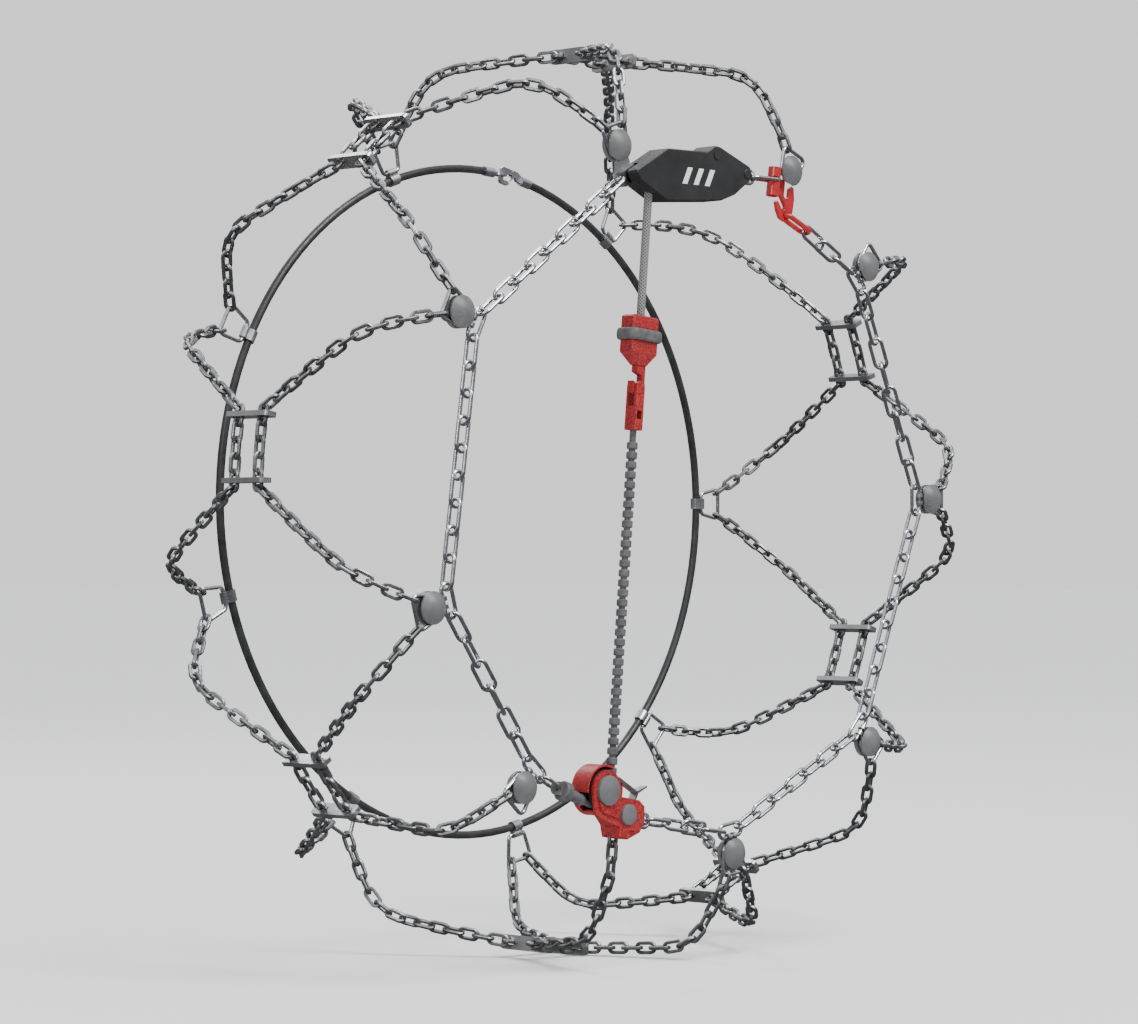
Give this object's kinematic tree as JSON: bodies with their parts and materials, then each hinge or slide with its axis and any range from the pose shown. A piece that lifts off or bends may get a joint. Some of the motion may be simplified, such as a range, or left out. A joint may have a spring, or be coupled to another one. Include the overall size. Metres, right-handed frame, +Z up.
{
  "type": "tire snow chains",
  "caption": "Side-tensioned snow chain for a tyre: laddered tread net with cross bars, side chain with domed bumpers, plate and hook, beaded tension strand, tensioner and rear hoop.",
  "frame": {"origin": "centre of the wheel, on the tyre's middle plane", "axes": "+Z up as worn, +Y along the axle toward the car (inner side), -Y toward the outer face"},
  "size_m": [0.7771, 0.2964, 0.7857],
  "materials": {
    "chain_steel": "hardened squared wire, worn bright on the edges",
    "bar_steel": "ground flat steel",
    "zinc_wire": "bright zinc plated wire",
    "sheet_zinc": "zinc plated pressed sheet",
    "grey_nylon": "satin grey nylon",
    "dark_plastic": "fine grained dark plastic",
    "red_plastic": "coarse grained red plastic",
    "red_coating": "red dipped coating over wire",
    "grey_rubber": "soft grey rubber",
    "dark_rubber": "dark grey rubber",
    "cord_textile": "braided elastic cord",
    "black_sheath": "black extruded sheath",
    "spring_steel": "bright spring wire"
  },
  "bodies": {
    "net": {"bracket": "sheet_zinc", "bumper_backings": "grey_nylon", "bumper_caps": "grey_nylon", "closing_hook": "red_coating", "closing_link": "zinc_wire", "coated_link": "red_coating", "cord_ferrule": "sheet_zinc", "cross_bars_a": "bar_steel", "cross_bars_b": "bar_steel", "cross_bars_c": "bar_steel", "cross_bars_d": "bar_steel", "cross_bars_e": "bar_steel", "cross_bars_f": "bar_steel", "cross_bars_g": "bar_steel", "cross_bars_h": "bar_steel", "elastic_cord": "cord_textile", "front_rings": "zinc_wire", "hoop_cable": "spring_steel", "hoop_clamps": "sheet_zinc", "hoop_eye_end": "sheet_zinc", "hoop_hook_end": "sheet_zinc", "hoop_sheath": "black_sheath", "housing_pins": "spring_steel", "lever_pin": "spring_steel", "lever_spring": "spring_steel", "lower_connector": "red_plastic", "pawl_spring": "spring_steel", "plate_base": "dark_plastic", "plate_cover": "dark_plastic", "plate_link": "zinc_wire", "plate_pins": "dark_plastic", "rear_rings": "zinc_wire", "ring_clamps": "sheet_zinc", "side_chain_1": "zinc_wire", "side_chain_2": "zinc_wire", "side_chain_3": "zinc_wire", "side_chain_4": "zinc_wire", "side_chain_5": "zinc_wire", "side_chain_6": "zinc_wire", "side_chain_7": "zinc_wire", "side_chain_8": "zinc_wire", "strand_link": "zinc_wire", "tension_strand": "dark_rubber", "tensioner_body": "red_plastic", "tensioner_caps": "grey_nylon", "tensioner_cover": "red_plastic", "tread_net_a": "chain_steel", "tread_net_b": "chain_steel", "tread_net_c": "chain_steel", "tread_net_d": "chain_steel", "tread_net_e": "chain_steel", "tread_net_f": "chain_steel", "tread_net_g": "chain_steel", "tread_net_h": "chain_steel"},
    "lever": {"release_lever": "sheet_zinc"},
    "roller": {"tensioner_roller": "dark_plastic"},
    "cap": {"pull_cap": "red_plastic", "grip_band": "grey_rubber"},
    "pawl": {"plate_pawl": "sheet_zinc"},
    "gate": {"hoop_gate": "spring_steel"}
  },
  "joints": [
    {"name": "lever_hinge", "type": "hinge", "parent": "net", "child": "lever", "pos_m": [-0.09, -0.139, -0.2545], "axis": [0, 1, 0], "range_deg": [0, 10], "stiffness_Nm_per_rad": 0.05, "springref_deg": -11.46, "deforming": ["lever_spring"]},
    {"name": "roller_spin", "type": "hinge", "parent": "net", "child": "roller", "pos_m": [-0.1273, -0.139, -0.2403], "axis": [0, 1, 0], "continuous": true},
    {"name": "cap_slide", "type": "slide", "parent": "net", "child": "cap", "axis": [-0.0937, 0, -0.9956], "range_m": [0, 0.007], "stiffness_N_per_m": 400, "springref_m": -0.02},
    {"name": "pawl_hinge", "type": "hinge", "parent": "net", "child": "pawl", "pos_m": [-0.014, -0.1354, 0.2835], "axis": [0, 1, 0], "range_deg": [0, 10], "stiffness_Nm_per_rad": 0.05, "springref_deg": -11.46, "deforming": ["pawl_spring"]},
    {"name": "gate_hinge", "type": "hinge", "parent": "net", "child": "gate", "pos_m": [0.04927, 0.1354, 0.29846], "axis": [0, 1, 0], "range_deg": [0, 14], "stiffness_Nm_per_rad": 0.02, "springref_deg": -11.46}
  ]
}
